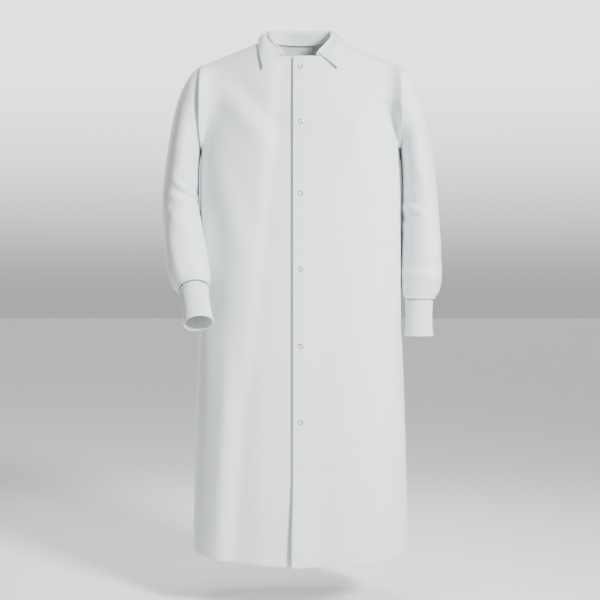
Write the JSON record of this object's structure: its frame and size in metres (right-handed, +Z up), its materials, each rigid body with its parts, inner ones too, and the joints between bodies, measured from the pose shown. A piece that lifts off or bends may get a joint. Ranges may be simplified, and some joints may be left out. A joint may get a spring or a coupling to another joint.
{
  "type": "lab coat",
  "caption": "Knee-length lab coat with a turned-down collar, snap front and knit cuffs, in its worn shape.",
  "frame": {"origin": "middle of the neck opening, at the height of the seam between the back and the collar", "axes": "+Z up along the centre back, the wearer faces -Y, the wearer's left is +X"},
  "size_m": [0.5971, 0.3212, 1.1386],
  "materials": {
    "coat_cloth": "smooth coated nonwoven-like cloth, matt",
    "facing_cloth": "the same cloth, inner side",
    "interlining": "thin stiffener",
    "rib_knit": "ribbed knit",
    "snap_metal": "bright satin"
  },
  "bodies": {
    "coat_body": {"back_panel": "coat_cloth", "left_front_side": "coat_cloth", "left_front_fold": "coat_cloth", "right_front_side": "coat_cloth", "right_front_fold": "coat_cloth", "upper_collar": "coat_cloth", "collar_interlining": "interlining", "under_collar": "facing_cloth"},
    "left_front": {"left_front_flap": "coat_cloth", "left_front_interlining": "interlining", "left_front_facing": "facing_cloth", "snap_cap_1": "snap_metal", "snap_cap_2": "snap_metal", "snap_cap_3": "snap_metal", "snap_cap_4": "snap_metal", "snap_cap_5": "snap_metal", "snap_cap_6": "snap_metal", "snap_socket_1": "snap_metal", "snap_socket_2": "snap_metal", "snap_socket_3": "snap_metal", "snap_socket_4": "snap_metal", "snap_socket_5": "snap_metal", "snap_socket_6": "snap_metal"},
    "right_front": {"right_front_flap": "coat_cloth", "right_front_interlining": "interlining", "right_front_facing": "facing_cloth", "snap_stud_1": "snap_metal", "snap_stud_2": "snap_metal", "snap_stud_3": "snap_metal", "snap_stud_4": "snap_metal", "snap_stud_5": "snap_metal", "snap_stud_6": "snap_metal", "snap_back_ring_1": "snap_metal", "snap_back_ring_2": "snap_metal", "snap_back_ring_3": "snap_metal", "snap_back_ring_4": "snap_metal", "snap_back_ring_5": "snap_metal", "snap_back_ring_6": "snap_metal"},
    "left_upper_sleeve": {"left_upper_sleeve": "coat_cloth", "left_elbow": "coat_cloth"},
    "left_lower_sleeve": {"left_lower_sleeve": "coat_cloth", "left_cuff": "rib_knit"},
    "right_upper_sleeve": {"right_upper_sleeve": "coat_cloth", "right_elbow": "coat_cloth"},
    "right_lower_sleeve": {"right_lower_sleeve": "coat_cloth", "right_cuff": "rib_knit"}
  },
  "joints": [
    {"name": "left_front_open", "type": "hinge", "parent": "coat_body", "child": "left_front", "pos_m": [0.044, -0.095, -0.054], "axis": [-0.1002, 0.0378, 0.9943], "range_deg": [0, 85], "deforming": ["left_front_fold"]},
    {"name": "right_front_open", "type": "hinge", "parent": "coat_body", "child": "right_front", "pos_m": [-0.044, -0.095, -0.054], "axis": [-0.1002, -0.0378, -0.9943], "range_deg": [0, 36], "deforming": ["right_front_fold"]},
    {"name": "left_shoulder_swing", "type": "hinge", "parent": "coat_body", "child": "left_upper_sleeve", "pos_m": [0.212, 0, -0.16], "axis": [-1, 0, 0], "range_deg": [-25, 60]},
    {"name": "left_elbow_bend", "type": "hinge", "parent": "left_upper_sleeve", "child": "left_lower_sleeve", "pos_m": [0.25572, 0, -0.3555], "axis": [-1, 0, 0], "range_deg": [0, 55], "deforming": ["left_elbow"]},
    {"name": "right_shoulder_swing", "type": "hinge", "parent": "coat_body", "child": "right_upper_sleeve", "pos_m": [-0.212, 0, -0.16], "axis": [-1, 0, 0], "range_deg": [0, 60]},
    {"name": "right_elbow_bend", "type": "hinge", "parent": "right_upper_sleeve", "child": "right_lower_sleeve", "pos_m": [-0.25572, -0.014, -0.3555], "axis": [-0.9404, -0.3401, 0], "range_deg": [-22, 32], "deforming": ["right_elbow"]}
  ],
  "couplings": [
    {"joint": "right_front_open", "follows": "left_front_open", "ratio": 0.42}
  ]
}
